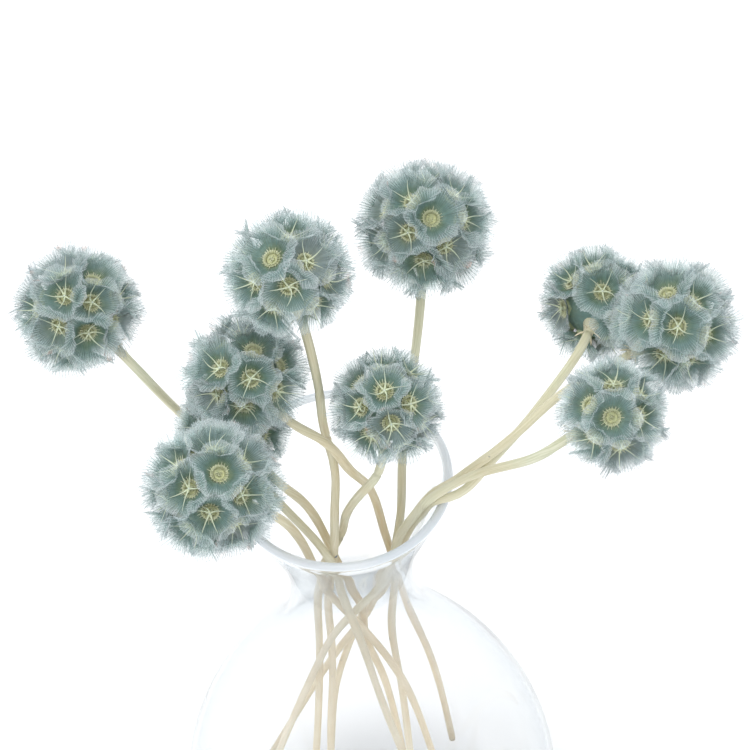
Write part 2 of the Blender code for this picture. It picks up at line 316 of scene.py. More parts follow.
def ring_patch(points, across, along, finish, tint=0.0, first_cap=False, last_cap=False):
    """A skin over rows of points, each row closed on itself.

    A face joins two neighbours of a row to the same two of the next row. across has one value more than a
    row has points, so that the map runs on over the closing face.
    """
    rows, columns = points.shape[:2]
    here = np.arange(rows * columns).reshape(rows, columns)
    after = np.roll(here, -1, axis=1)
    walls = np.stack([here[:-1], after[:-1], after[1:], here[1:]], axis=-1).reshape(-1, 4)
    u = np.broadcast_to(across, (rows - 1, columns + 1))
    v = np.broadcast_to(np.reshape(along, (rows, 1)), (rows, columns))
    corners_u = np.stack([u[:, :-1], u[:, 1:], u[:, 1:], u[:, :-1]], axis=-1)
    corners_v = np.stack([v[:-1], v[:-1], v[1:], v[1:]], axis=-1)
    faces = [walls]
    maps = [np.stack([corners_u, corners_v], axis=-1).reshape(-1, 4, 2)]
    for wanted, row, way in ((first_cap, 0, -1), (last_cap, rows - 1, 1)):
        if wanted:
            faces.append(here[row, ::way][None])
            end = np.stack([across[:-1], np.full(columns, v[row, 0])], axis=-1)
            maps.append(end[::way][None])
    return Patch(points.reshape(-1, 3), faces, maps, finish, tint)


def tube_patch(paths, radii, facing, sides, finish, tint=0.0, flatness=1.0, along=None):
    """Closed tubes along many paths at once.

    paths is (count, steps, 3) and radii (count, steps). A ring's point is the path's point plus radius
    times (cosine of the turn x side + flatness x sine of the turn x top), where side is square to the path
    and to facing, and top is square to both.
    """
    count, steps = paths.shape[:2]
    ways = unit(np.gradient(paths, axis=1))
    side = unit(np.cross(ways, facing))
    top = np.cross(ways, side)
    turns = full_turn(sides)
    ring = np.cos(turns)[:, None] * side[:, :, None] + flatness * np.sin(turns)[:, None] * top[:, :, None]
    points = paths[:, :, None] + radii[:, :, None, None] * ring
    here = np.arange(count * steps * sides).reshape(count, steps, sides)
    after = np.roll(here, -1, axis=2)
    walls = np.stack([here[:, :-1], after[:, :-1], after[:, 1:], here[:, 1:]], axis=-1).reshape(-1, 4)
    along = np.linspace(0, 1, steps) if along is None else along
    along = np.broadcast_to(along, (count, steps))
    v = np.broadcast_to(along[:, :, None], (count, steps, sides))
    u = np.broadcast_to(np.arange(sides) / sides, (count, steps, sides))
    corners_v = np.stack([v[:, :-1], v[:, :-1], v[:, 1:], v[:, 1:]], axis=-1)
    low = u[:, :-1]
    corners_u = np.stack([low, low + 1 / sides, low + 1 / sides, low], axis=-1)
    ends = [here[:, 0, ::-1], here[:, -1]]
    end_maps = [np.stack([u[:, i], v[:, i]], axis=-1) for i in (0, -1)]
    maps = [np.stack([corners_u, corners_v], axis=-1).reshape(-1, 4, 2), *end_maps]
    return Patch(points.reshape(-1, 3), [walls, *ends], maps, finish, tint)


def make_piece(name, patches, finishes, centre=(0, 0, 0)):
    """One mesh object from patches, put in as whole arrays, in metres about the world's origin."""
    starts = np.cumsum([0] + [len(patch.points) for patch in patches])
    corners, sizes, values, slots = [], [], [], []
    for first, patch in zip(starts, patches):
        for faces, maps in zip(patch.faces, patch.maps):
            corners.append((faces + first).ravel())
            sizes.append(np.full(len(faces), faces.shape[1]))
            values.append(maps.reshape(-1, 2))
            slots.append(np.full(len(faces), patch.finish))
    points = (np.concatenate([patch.points for patch in patches]) + np.array(centre, float)) * MM
    corners, sizes = np.concatenate(corners), np.concatenate(sizes)
    mesh = bpy.data.meshes.new(name)
    mesh.vertices.add(len(points))
    mesh.vertices.foreach_set("co", points.astype(np.float32).ravel())
    mesh.loops.add(len(corners))
    mesh.loops.foreach_set("vertex_index", corners.astype(np.int32))
    mesh.polygons.add(len(sizes))
    mesh.polygons.foreach_set("loop_start", (np.cumsum(sizes) - sizes).astype(np.int32))
    mesh.polygons.foreach_set("material_index", np.concatenate(slots).astype(np.int32))
    mesh.polygons.foreach_set("use_smooth", np.ones(len(sizes), bool))
    mesh.update(calc_edges=True)
    layer = mesh.uv_layers.new(name="run")
    layer.uv.foreach_set("vector", np.concatenate(values).astype(np.float32).ravel())
    tints = np.concatenate([np.full(len(patch.points), patch.tint) for patch in patches])
    attribute = mesh.attributes.new("tint", "FLOAT", "POINT")
    attribute.data.foreach_set("value", tints.astype(np.float32))
    for finish in finishes:
        mesh.materials.append(finish)
    piece = bpy.data.objects.new(name, mesh)
    bpy.context.scene.collection.objects.link(piece)
    return piece


# Shader helpers


def add_node(tree, kind, **values):
    """A node of that kind, with its named properties set and its inputs set or linked by name or number."""
    node = tree.nodes.new(kind)
    for name, value in values.pop("inputs", {}).items():
        socket = node.inputs[name]
        if isinstance(value, bpy.types.NodeSocket):
            tree.links.new(value, socket)
        else:
            socket.default_value = value
    for name, value in values.items():
        setattr(node, name, value)
    return node


def maths(tree, operation, first, second=0.0, clamp=False):
    """One sum or product, or another of the Math node's operations, on sockets or numbers."""
    inputs = {0: first, 1: second}
    return add_node(tree, "ShaderNodeMath", operation=operation, use_clamp=clamp, inputs=inputs).outputs[0]


def map_range(tree, value, low, high, new_low=0.0, new_high=1.0, smooth=False):
    """The value's place between low and high, moved to between new_low and new_high."""
    kind = "SMOOTHSTEP" if smooth else "LINEAR"
    inputs = {"Value": value, "From Min": low, "From Max": high, "To Min": new_low, "To Max": new_high}
    return add_node(tree, "ShaderNodeMapRange", interpolation_type=kind, inputs=inputs).outputs["Result"]


def blend(tree, share, under, over):
    """The under colour, going to the over colour as share goes from 0 to 1."""
    node = add_node(tree, "ShaderNodeMix", data_type="RGBA")
    for socket, value in zip((node.inputs[0], node.inputs[6], node.inputs[7]), (share, under, over)):
        if isinstance(value, bpy.types.NodeSocket):
            tree.links.new(value, socket)
        elif isinstance(value, tuple):
            socket.default_value = (*value, 1.0)
        else:
            socket.default_value = value
    return node.outputs[2]


def ramp(tree, value, stops):
    """A colour read from stops of (place, colour)."""
    node = add_node(tree, "ShaderNodeValToRGB", inputs={"Fac": value})
    elements = node.color_ramp.elements
    while len(elements) < len(stops):
        elements.new(0.5)
    for element, (place, colour) in zip(elements, stops):
        element.position = place
        element.color = (*colour, 1.0)
    return node.outputs["Color"]


def new_group(name, values, outputs):
    """A shader group with float inputs of these names and values, and float outputs."""
    group = bpy.data.node_groups.new(name, "ShaderNodeTree")
    for label, value in values.items():
        socket = group.interface.new_socket(label, in_out="INPUT", socket_type="NodeSocketFloat")
        socket.default_value = value
    for label in outputs:
        group.interface.new_socket(label, in_out="OUTPUT", socket_type="NodeSocketFloat")
    return group, group.nodes.new("NodeGroupInput"), group.nodes.new("NodeGroupOutput")


def use_group(tree, group, **values):
    """The shader group placed in a material with its own values, and its one output."""
    node = add_node(tree, "ShaderNodeGroup", node_tree=group)
    for name, value in values.items():
        node.inputs[name].default_value = value
    return node.outputs[0]


def drift_group():
    """Slow change over the surface: noise of the given size, spread to fill 0 to 1."""
    group, inside, outside = new_group("slow_drift", {"Scale": 100.0, "Detail": 2.0}, ["Drift"])
    place = add_node(group, "ShaderNodeTexCoord").outputs["Object"]
    inputs = {"Vector": place, "Scale": inside.outputs["Scale"], "Detail": inside.outputs["Detail"]}
    noise = add_node(group, "ShaderNodeTexNoise", inputs=inputs)
    drift = map_range(group, noise.outputs["Fac"], 0.32, 0.68)
    group.links.new(drift, outside.inputs["Drift"])
    return group


def speck_group():
    """Small flecks: 1 where fine noise rises over the threshold, 0 elsewhere."""
    group, inside, outside = new_group("small_specks", {"Scale": 900.0, "Threshold": 0.7}, ["Specks"])
    place = add_node(group, "ShaderNodeTexCoord").outputs["Object"]
    noise = add_node(group, "ShaderNodeTexNoise", inputs={"Vector": place, "Scale": inside.outputs["Scale"]})
    top = maths(group, "ADD", inside.outputs["Threshold"], 0.05)
    specks = map_range(group, noise.outputs["Fac"], inside.outputs["Threshold"], top, smooth=True)
    group.links.new(specks, outside.inputs["Specks"])
    return group


def new_finish(name, roughness, **constants):
    """A material with its Principled shader, whose plain values are set here."""
    finish = bpy.data.materials.new(name)
    finish.use_nodes = True
    tree = finish.node_tree
    shader = tree.nodes["Principled BSDF"]
    shader.inputs["Roughness"].default_value = roughness
    for label, value in constants.items():
        shader.inputs[label.replace("_", " ")].default_value = value
    return finish, tree, shader


def run_map(tree):
    """The piece's own map: across the surface, and along it."""
    place = add_node(tree, "ShaderNodeUVMap", uv_map="run").outputs["UV"]
    split = add_node(tree, "ShaderNodeSeparateXYZ", inputs={0: place})
    return split.outputs["X"], split.outputs["Y"]


def tint_of(tree):
    """The value from 0 to 1 that each funnel or stem is given as its own."""
    return add_node(tree, "ShaderNodeAttribute", attribute_name="tint").outputs["Fac"]


def add_bump(tree, shader, height, strength, distance):
    inputs = {"Strength": strength, "Distance": distance, "Height": height}
    bump = add_node(tree, "ShaderNodeBump", inputs=inputs)
    tree.links.new(bump.outputs["Normal"], shader.inputs["Normal"])


# Finishes


def membrane_colour(tree, groups, along):
    """Green by the cup, dark just above it with painted shade of the pockets, pale at the rim, with drifts of
    blue, greyer funnels, rusty blushes and specks.
    """
    drift = use_group(tree, groups["drift"], Scale=260.0)
    # The dark stops at 0.12 and 0.3 are the membrane's own green darkened by painted shade of the deep
    # pockets round the cups.
    body = ramp(tree, along, (
        (0.0, (0.34, 0.39, 0.17)), (0.12, (0.16, 0.22, 0.10)), (0.3, (0.12, 0.21, 0.15)),
        (0.5, (0.26, 0.38, 0.34)), (0.7, (0.55, 0.70, 0.66)), (0.88, (0.90, 0.97, 0.96)),
    ))
    body = blend(tree, maths(tree, "MULTIPLY", drift, 0.5), body, (0.21, 0.36, 0.40))
    body = blend(tree, map_range(tree, tint_of(tree), 0.6, 1.0, 0, 0.5), body, (0.42, 0.44, 0.50))
    rim = map_range(tree, along, 0.72, 0.95)
    flecked = maths(tree, "MULTIPLY", rim, map_range(tree, tint_of(tree), 0.7, 0.72))
    blush = use_group(tree, groups["drift"], Scale=230.0, Detail=1.0)
    blush = maths(tree, "MULTIPLY", map_range(tree, blush, 0.9, 1.0), flecked)
    body = blend(tree, maths(tree, "MULTIPLY", blush, 0.7), body, (0.74, 0.32, 0.20))
    specks = use_group(tree, groups["specks"], Scale=620.0, Threshold=0.69)
    return blend(tree, maths(tree, "MULTIPLY", specks, rim), body, (0.07, 0.12, 0.19))


def membrane_alpha(tree, across, along):
    """How solid the membrane is: less and less towards the rim, and a little more along each vein."""
    near_vein = maths(tree, "PINGPONG", maths(tree, "MULTIPLY", across, 2.0), 0.5)
    vein = map_range(tree, near_vein, 0.32, 0.12, smooth=True)
    shares = ((0.0, 0.95), (0.3, 0.7), (0.62, 0.36), (0.85, 0.21), (1.0, 0.26))
    solid = ramp(tree, along, [(place, (share, share, share)) for place, share in shares])
    return maths(tree, "ADD", solid, maths(tree, "MULTIPLY", vein, 0.1), clamp=True)


def membrane_finish(groups):
    """Dyed papery membrane: thick and yellow-green by the cup, with painted shade just above it, thin, pale
    and veined at the rim.
    """
    finish, tree, shader = new_finish("papery_membrane", 0.72, Specular_IOR_Level=0.25, Sheen_Weight=0.1)
    across, along = run_map(tree)
    tree.links.new(membrane_colour(tree, groups, along), shader.inputs["Base Color"])
    tree.links.new(membrane_alpha(tree, across, along), shader.inputs["Alpha"])
    return finish


def rib_finish():
    """The funnel's ribs: green-grey below, painted shade a little way up, blue-grey above, and dark at the
    hair tips.
    """
    finish, tree, shader = new_finish("funnel_rib", 0.6, Specular_IOR_Level=0.3)
    _, along = run_map(tree)
    # The dark stop at 0.3 is painted shade of the pockets round the cups.
    body = ramp(tree, along, (
        (0.0, (0.46, 0.50, 0.34)), (0.3, (0.13, 0.19, 0.14)), (0.5, (0.21, 0.29, 0.27)),
        (0.72, (0.52, 0.62, 0.61)), (1.0, (0.35, 0.41, 0.42)),
    ))
    body = blend(tree, maths(tree, "MULTIPLY", tint_of(tree), 0.35), body, (0.38, 0.37, 0.37))
    tree.links.new(body, shader.inputs["Base Color"])
    return finish


def bristle_finish(groups):
    """The cup's bristles: pale cream-green, browner at the root."""
    finish, tree, shader = new_finish("cup_bristle", 0.55, Specular_IOR_Level=0.3)
    _, along = run_map(tree)
    body = ramp(tree, along, (
        (0.0, (0.56, 0.57, 0.35)), (0.3, (0.70, 0.72, 0.50)), (1.0, (0.84, 0.85, 0.68)),
    ))
    drift = use_group(tree, groups["drift"], Scale=500.0)
    body = blend(tree, maths(tree, "MULTIPLY", drift, 0.3), body, (0.56, 0.57, 0.32))
    tree.links.new(body, shader.inputs["Base Color"])
    return finish


def awn_finish(groups):
    """The star's arms: waxy pale green, straw-coloured here and there."""
    finish, tree, shader = new_finish("star_arm", 0.45, Specular_IOR_Level=0.4)
    _, along = run_map(tree)
    body = ramp(tree, along, (
        (0.0, (0.58, 0.63, 0.42)), (0.4, (0.60, 0.67, 0.50)), (1.0, (0.54, 0.61, 0.51)),
    ))
    drift = use_group(tree, groups["drift"], Scale=300.0)
    body = blend(tree, maths(tree, "MULTIPLY", drift, 0.25), body, (0.60, 0.58, 0.38))
    tree.links.new(body, shader.inputs["Base Color"])
    return finish


def fruit_finish(groups):
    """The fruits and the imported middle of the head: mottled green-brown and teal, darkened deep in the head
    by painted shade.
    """
    finish, tree, shader = new_finish("downy_fruit", 0.8, Specular_IOR_Level=0.2)
    _, along = run_map(tree)
    # Along runs from deep in the head to the cup: below 0.7 the colours darken with painted shade; 0.7 and 1
    # are the fruit's and the cup's own yellow-green.
    body = ramp(tree, along, (
        (0.0, (0.16, 0.24, 0.22)), (0.5, (0.28, 0.36, 0.23)), (0.7, (0.60, 0.60, 0.33)),
        (1.0, (0.72, 0.74, 0.48)),
    ))
    drift = use_group(tree, groups["drift"], Scale=900.0, Detail=4.0)
    # Mottles towards dark teal, by up to 0.6 deep in the head and 0.3 by the cup.
    teal_mottle = maths(tree, "MULTIPLY", drift, map_range(tree, along, 0.5, 0.7, 0.6, 0.3))
    body = blend(tree, teal_mottle, body, (0.15, 0.26, 0.24))
    tree.links.new(body, shader.inputs["Base Color"])
    add_bump(tree, shader, drift, 0.5, 0.0004)
    return finish


def straw_streaks(tree, across, along):
    """Noise drawn out along the stem, and other on each stem."""
    stretched = add_node(tree, "ShaderNodeCombineXYZ", inputs={
        0: maths(tree, "MULTIPLY", across, 9.0), 1: maths(tree, "MULTIPLY", along, 7.0), 2: tint_of(tree),
    })
    inputs = {"Vector": stretched.outputs[0], "Scale": 3.0, "Detail": 4.0}
    return add_node(tree, "ShaderNodeTexNoise", inputs=inputs).outputs["Fac"]


def straw_finish(groups):
    """Dry stem: fine lengthwise streaks, greener towards the head, paler in the glass, with a few dark dye
    specks.
    """
    finish, tree, shader = new_finish("dry_straw", 0.5, Specular_IOR_Level=0.35)
    across, along = run_map(tree)
    # The pale stops at 0.52, where a stem goes into the glass, are partly the stem's own bleached colour and
    # partly painted light for the lamp light the glass holds back.
    green = ramp(tree, along, (
        (0.0, (0.50, 0.53, 0.37)), (0.3, (0.62, 0.62, 0.45)), (0.52, (0.97, 0.89, 0.71)),
    ))
    tan = ramp(tree, along, (
        (0.0, (0.56, 0.52, 0.34)), (0.3, (0.76, 0.61, 0.38)), (0.52, (0.99, 0.85, 0.62)),
    ))
    base = blend(tree, tint_of(tree), green, tan)
    streaks = straw_streaks(tree, across, along)
    pale = map_range(tree, streaks, 0.35, 0.65)
    body = blend(tree, maths(tree, "MULTIPLY", pale, 0.45), base, (0.90, 0.87, 0.74))
    drift = use_group(tree, groups["drift"], Scale=60.0)
    body = blend(tree, maths(tree, "MULTIPLY", drift, 0.3), body, (0.66, 0.50, 0.28))
    specks = use_group(tree, groups["specks"], Scale=380.0, Threshold=0.735)
    body = blend(tree, specks, body, (0.10, 0.14, 0.20))
    tree.links.new(body, shader.inputs["Base Color"])
    tree.links.new(map_range(tree, streaks, 0.3, 0.7, 0.62, 0.42), shader.inputs["Roughness"])
    add_bump(tree, shader, streaks, 0.35, 0.0003)
    return finish


def glass_finish(groups):
    """Clear blown glass, greyer where it is seen edge-on as painted edge shade, with a breath of unevenness
    in the surface.
    """
    finish, tree, shader = new_finish("clear_glass", 0.0, IOR=1.36, Transmission_Weight=1.0)
    facing = add_node(tree, "ShaderNodeLayerWeight", inputs={"Blend": 0.5}).outputs["Facing"]
    # The blue-grey towards the edges is painted shade that draws the glass's outline, which the white room
    # leaves unseen.
    edge = maths(tree, "POWER", facing, 4.5)
    body = blend(tree, edge, (0.988, 0.99, 0.992), (0.32, 0.42, 0.48))
    tree.links.new(body, shader.inputs["Base Color"])
    drift = use_group(tree, groups["drift"], Scale=22.0, Detail=0.0)
    add_bump(tree, shader, drift, 0.05, 0.001)
    return finish


def lip_finish(groups):
    """The rolled lip, where the glass is thick and gathers light: a milky blue-grey of painted light, in
    paler patches of painted highlight, with a hard gloss.
    """
    finish, tree, shader = new_finish("rolled_lip_glass", 0.08, IOR=1.46, Transmission_Weight=0.2)
    # The milky colour stands in as painted light for the light the thick roll gathers; the drift gives paler
    # patches of painted highlight.
    drift = use_group(tree, groups["drift"], Scale=45.0)
    body = blend(tree, drift, (0.76, 0.81, 0.86), (0.90, 0.92, 0.94))
    tree.links.new(body, shader.inputs["Base Color"])
    return finish


def floor_finish(groups):
    """The plain pale floor, hardly clouded."""
    finish, tree, shader = new_finish("pale_floor", 0.9, Specular_IOR_Level=0.1)
    drift = use_group(tree, groups["drift"], Scale=3.0)
    body = blend(tree, maths(tree, "MULTIPLY", drift, 0.3), (0.97, 0.97, 0.97), (0.95, 0.955, 0.96))
    tree.links.new(body, shader.inputs["Base Color"])
    return finish


# Bottle


def bottle_profile():
    """(radius, height) from the middle of the inner floor, up inside, over the lip and down outside.

    The outer wall is a smooth curve through chosen points. The inner wall lies a glass's thickness inside
    it, square to it. The lip is a half round.
    """
    points = (
        (FOOT_RADIUS, 0), (43, 9.5), (56, 27), (BELLY_RADIUS, BELLY_HEIGHT), (57, 91), (42, 123),
        (27, 150), (20.3, 170), (WAIST_RADIUS, WAIST_HEIGHT), (22, 204), (29, 224),
        (LIP_RADIUS - LIP_STEP, HEIGHT - LIP_ROLL),
    )
    outer = smooth_route(points, WALL_STEP)
    along = np.gradient(outer, axis=0)
    inner = outer + GLASS * unit(np.stack([-along[:, 1], along[:, 0]], axis=1))
    inner = inner[inner[:, 1] > FLOOR + FLOOR_TURN]
    turn = np.linspace(math.pi, 0, LIP_POINTS)
    lip = np.stack([np.cos(turn), np.sin(turn)], axis=1) * LIP_ROLL
    lip += (LIP_RADIUS - LIP_ROLL, HEIGHT - LIP_ROLL)
    middle, half_way = FOOT_RINGS
    far, near = inner[0, 0] - np.array(FLOOR_EDGES)
    floor = np.array([(middle, FLOOR), (half_way, FLOOR), (far, FLOOR), (near, FLOOR + FLOOR_RISE)])
    foot = np.array([
        (FOOT_RADIUS, FOOT_ROUND / 3), (FOOT_RADIUS - FOOT_ROUND, 0), (half_way, 0), (middle, 0),
    ])
    return np.concatenate([floor, inner[:-1], lip, outer[-2:0:-1], foot])


def make_bottle(finishes):
    """The profile carried round the upright axis, with the lip's own finish from LIP_DEPTH under the top."""
    profile = bottle_profile()
    points = turned_rings(profile[:, :1], profile[:, 1:], BOTTLE_SIDES)
    across = np.linspace(0, 1, BOTTLE_SIDES + 1)
    along = np.linspace(0, 1, len(profile))
    patch = ring_patch(points[::-1], across, along, 0, first_cap=True, last_cap=True)
    bottle = make_piece("glass_bottle", [patch], finishes)
    middles = np.empty(3 * len(bottle.data.polygons), np.float32)
    bottle.data.polygons.foreach_get("center", middles)
    on_lip = middles[2::3] > (HEIGHT - LIP_DEPTH) * MM
    bottle.data.polygons.foreach_set("material_index", on_lip.astype(np.int32))
    return bottle


# Stems


def stem_patch(route, start, tint, finish):
    """A straw along the route, from the distance start off its first point.

    Its radius shrinks evenly to the cut end, swells here and there by STEM_SWELL times the product of a
    quick and a slow sine, and goes in and out round the stem by RIDGE_DEPTH times the cosine of
    STEM_RIDGES turns.
    """
    line = smooth_route(route, FINE_STEP)
    line = line[np.linalg.norm(line - line[0], axis=1) >= start]
    line = line[np.linspace(0, len(line) - 1, int(len(line) * FINE_STEP / STEM_STEP)).astype(int)]
    ways = unit(np.gradient(line, axis=0))
    facing = np.linalg.svd(ways - ways.mean(axis=0))[2][-1]
    side = unit(np.cross(ways, facing))
    top = np.cross(ways, side)
    share = np.linspace(0, 1, len(line))[:, None]
    turns = full_turn(STEM_SIDES)
    swell = np.sin(QUICK_SWELL * share + 9 * tint) * np.sin(SLOW_SWELL * share + 5 * tint)
    swell = 1 + STEM_SWELL * swell
    radius = STEM_RADIUS * (1 - (1 - STEM_THIN) * share) * swell
    radius = radius + RIDGE_DEPTH * np.cos(STEM_RIDGES * turns + 2 * share)
    ring = np.cos(turns)[:, None] * side[:, None] + np.sin(turns)[:, None] * top[:, None]
    points = line[:, None] + radius[..., None] * ring
    across = np.linspace(0, 1, STEM_SIDES + 1)
    return ring_patch(points, across, share[:, 0], finish, tint, first_cap=True, last_cap=True)


# Seed heads


def head_axes(radius, stem_way, draw):
    """Directions spread evenly over the head by the golden angle, but for the stem's opening."""
    wanted = round(FUNNELS_PER_MM * radius)
    covered = (1 + math.cos(STEM_OPENING)) / 2
    golden = math.pi * (3 - math.sqrt(5))
    start = draw.uniform(0, 2 * math.pi)
    turn = Vector((0, 0, -1)).rotation_difference(stem_way)
    axes = []
    for i in range(wanted):
        height = 1 - 2 * covered * (i + 0.5) / wanted
        across = math.sqrt(1 - height * height)
        angle = start + golden * i
        axis = Vector((across * math.cos(angle), across * math.sin(angle), height))
        shift = Vector([draw.uniform(-AXIS_SHIFT, AXIS_SHIFT) for _ in range(3)])
        axes.append(turn @ (axis + shift).normalized())
    return axes


def turn_ways(funnel, turns):
    """Unit vectors square to the funnel's axis: cosine of the turn x first + sine of the turn x second."""
    return np.cos(turns)[..., None] * funnel.first + np.sin(turns)[..., None] * funnel.second


def room_for(funnel, turns):
    """How far the wall may lean from the axis at each turn before each neighbour's half begins.

    The half way to a neighbour has the tangent (1 - cosine to it) / (cosine of the turn's way to it).
    """
    return np.arctan2(1 - funnel.others @ funnel.axis, turn_ways(funnel, turns) @ funnel.others.T)


def first_corner(axis, first, second, others):
    """The turn at which the room first peaks, counted from half a turn back: where a star's arms begin."""
    turns = np.linspace(-math.pi, math.pi, CORNER_TURNS, endpoint=False)
    bare = Funnel(axis, first, second, others, 0, 0, 0, 0, 0, 0, 0)
    room = room_for(bare, turns).min(axis=1)
    peaks = (room > np.roll(room, 1)) & (room >= np.roll(room, -1))
    return turns[np.argmax(peaks)]


def head_funnels(number, radius, stem_way):
    """All funnels of a head, drawn in the same order as the solids' own."""
    draw = random.Random(number)
    extra = np.random.default_rng(number)
    axes = head_axes(radius, stem_way, draw)
    funnels = []
    for place, axis in enumerate(axes):
        others = np.array([other for other in axes if other is not axis])
        layer = place % LAYERS - 1 + extra.uniform(-LAYER_SHIFT, LAYER_SHIFT)
        first = axis.orthogonal().normalized()
        second = axis.cross(first)
        reach = radius * draw.uniform(LOWEST_RIM, 1.0)
        arms = np.array([draw.uniform(SHORTEST_STAR, 1.0) for _ in range(STAR_POINTS)])
        axis, first, second = np.array(axis), np.array(first), np.array(second)
        start = first_corner(axis, first, second, others)
        phases = extra.uniform(0, 2 * math.pi, (2, len(FOLD_COUNTS)))
        funnels.append(Funnel(
            axis, first, second, others, reach, CUP_SHARE * radius, start, arms, phases, layer,
            extra.random()))
    return funnels


def rim_of(funnel, turns):
    """Lean from the axis and distance from the head's centre of the rim at each turn.

    The lean is the soft smallest of the neighbours' rooms and the free spread, plus an overlap, the lobes
    |cosine(LOBES / 2 x turn + phase)| less their mean, and a few waves. All ribs of a funnel are equally
    long, so with m the cup's edge (CUP_RADIUS, cup) measured along the lean, the distance is
    m + root(m squared + rib squared - edge squared), held below the usual one, plus the lobes and more
    waves. The layer, from about -1 to 1, lays one funnel over the next.
    """
    room = room_for(funnel, turns)
    room = np.concatenate([room, np.full((*room.shape[:-1], 1), FREE_SPREAD)], axis=-1)
    lean = OVERLAP - np.log(np.exp(-CROWDING * room).sum(axis=-1)) / CROWDING
    lobe = np.abs(np.cos(LOBES / 2 * turns + funnel.phases[0, 0])) - LOBE_MEAN
    waves = np.sin(turns[..., None] * FOLD_COUNTS + funnel.phases[0]) @ FOLD_LEAN
    rises = np.sin(turns[..., None] * FOLD_COUNTS + funnel.phases[1]) @ FOLD_RISE
    lean = lean + waves + LOBE_LEAN * lobe + LAYERING * funnel.layer
    usual = funnel.reach * RIM_SHARE + LAYER_RISE * funnel.layer
    edge = CUP_RADIUS * np.sin(lean) + funnel.cup * np.cos(lean)
    usual_edge = CUP_RADIUS * math.sin(USUAL_LEAN) + funnel.cup * math.cos(USUAL_LEAN)
    distance = np.minimum(edge + np.sqrt(edge**2 + usual**2 - 2 * usual * usual_edge), usual)
    return lean, distance + rises + LOBE_RISE * lobe


def wall_points(funnel, turns, shares):
    """The funnel's wall at turns round its axis and shares of the way from cup to rim.

    In the plane of a turn, (out, up) runs on a quadratic curve from the cup's edge past a bend to the rim's
    point (distance x sine of the lean, distance x cosine of it). Pleats push it in and up, or out and down,
    by PLEAT x share x cosine of RIBS turns.
    """
    lean, distance = rim_of(funnel, turns)
    rim_out, rim_up = distance * np.sin(lean), distance * np.cos(lean)
    bend_out = CUP_RADIUS + BEND_OUT * (rim_out - CUP_RADIUS)
    bend_up = funnel.cup + BEND_UP * (rim_up - funnel.cup)
    rest = 1 - shares
    out = rest**2 * CUP_RADIUS + 2 * rest * shares * bend_out + shares**2 * rim_out
    up = rest**2 * funnel.cup + 2 * rest * shares * bend_up + shares**2 * rim_up
    pleat = PLEAT * shares * np.cos(RIBS * turns)
    out, up = out - PLEAT_SLOPE * pleat, up + PLEAT_SLOPE * pleat
    return out[..., None] * turn_ways(funnel, turns) + up[..., None] * funnel.axis


def membrane_patch(funnel, extra, finish):
    """The wall's membrane: wall points up to an edge that is uneven, and lower between the ribs."""
    turns = full_turn(2 * RIBS)
    shares = np.linspace(0, 1, WALL_ROWS)[:, None]
    edge = np.where(np.arange(2 * RIBS) % 2, EDGE_DIP, 1.0) - extra.uniform(0, EDGE_WEAR, 2 * RIBS)
    points = wall_points(funnel, turns[None] + 0 * shares, shares * edge)
    across = np.linspace(0, RIBS, 2 * RIBS + 1)
    return ring_patch(points, across, shares[:, 0], finish, funnel.tint)


def rib_patch(funnel, extra, finish):
    """Ribs up the wall that run on past the rim as hairs of uneven length, each bent a little its own way.

    A rib's path is the wall's points at one turn, with shares that go past 1. Its radius eases from half of
    RIB_RADIUS at the cup to all of it by 0.4 of the way, and from half way down to RIB_TIP.
    """
    turns = 2 * math.pi * (np.arange(RIBS) + extra.uniform(-RIB_SHIFT, RIB_SHIFT, RIBS)) / RIBS
    ends = 1 + HAIR * extra.uniform(HAIR_SHORTEST, 1.0, RIBS)
    shares = np.linspace(RIB_START, 1, RIB_STEPS)[:, None] * ends
    stray = extra.normal(0, RIB_STRAY, RIBS) * ease((shares - 0.7) / 0.3)
    paths = wall_points(funnel, turns + stray, shares).transpose(1, 0, 2)
    radii = RIB_RADIUS * (0.5 + 0.5 * ease(shares.T / 0.4))
    radii = radii + (RIB_TIP - radii) * ease((shares.T - 0.5) / (0.5 + HAIR))
    along = shares.T / (1 + HAIR)
    return tube_patch(paths, radii, funnel.axis, RIB_SIDES, finish, funnel.tint, along=along)


def bristle_patch(funnel, extra, finish):
    """Straight short bristles: some scattered over the cup's hollow, and two rings on its edge.

    A bristle goes from its root, (out, up) in the plane of its turn, by its length times (way out, way up).
    Its radius shrinks evenly by BRISTLE_TAPER.
    """
    shifts = extra.uniform(-BRISTLE_SHIFT, BRISTLE_SHIFT, BRISTLES)
    turns = 2 * math.pi * (np.arange(BRISTLES) + shifts) / BRISTLES
    rings = BRISTLE_RINGS[np.arange(BRISTLES) % len(BRISTLE_RINGS)]
    least, root_out, way_out, root_up, way_up = rings.T[:, :, None]
    share = np.linspace(0, 1, 2)
    length = extra.uniform(*BRISTLE_LENGTHS, BRISTLES)[:, None] * share
    out = root_out * extra.uniform(least, 1.0) + way_out * length
    up = funnel.cup + root_up + way_up * length
    paths = out[..., None] * turn_ways(funnel, turns)[:, None] + up[..., None] * funnel.axis
    radii = BRISTLE_RADIUS * (1 - BRISTLE_TAPER * share) + 0 * length
    return tube_patch(paths, radii, turn_ways(funnel, turns + 1.2)[:, None], 3, finish, funnel.tint)


def awn_radii(share):
    """An arm's half width: a taper, (1 - share) to the power 0.8, times a bell near the hub, plus AWN_TIP."""
    bell = 1 + 0.9 * np.exp(-((share - 0.1) / 0.12) ** 2)
    return AWN_WIDTH * (1 - share) ** 0.8 * bell + AWN_TIP


